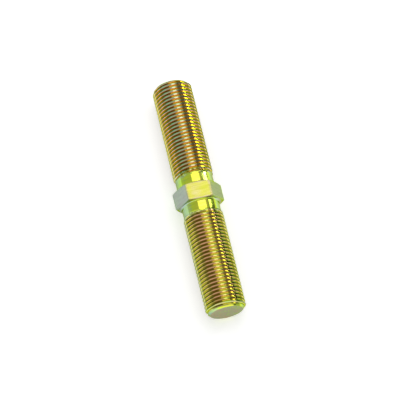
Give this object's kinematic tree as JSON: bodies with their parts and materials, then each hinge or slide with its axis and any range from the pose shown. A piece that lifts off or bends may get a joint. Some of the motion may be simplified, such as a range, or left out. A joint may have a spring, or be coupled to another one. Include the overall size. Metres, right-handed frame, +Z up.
{
  "type": "toe adjustment bolt",
  "caption": "Double-ended adjuster bolt: a hexagon collar between plain necks, with a right-hand thread on one end and a left-hand thread on the other, so turning it sets a link's length.",
  "frame": {"origin": "middle of the collar flat that the bolt rests on, under the centre of the collar", "axes": "+X along the bolt towards its left-hand thread, +Z up out of the opposite collar flat"},
  "size_m": [0.098, 0.0196, 0.017],
  "materials": {
    "plated_steel": "bright yellow zinc chromate over rolled and turned steel"
  },
  "bodies": {
    "root": {"toe_bolt": "plated_steel"}
  },
  "joints": []
}
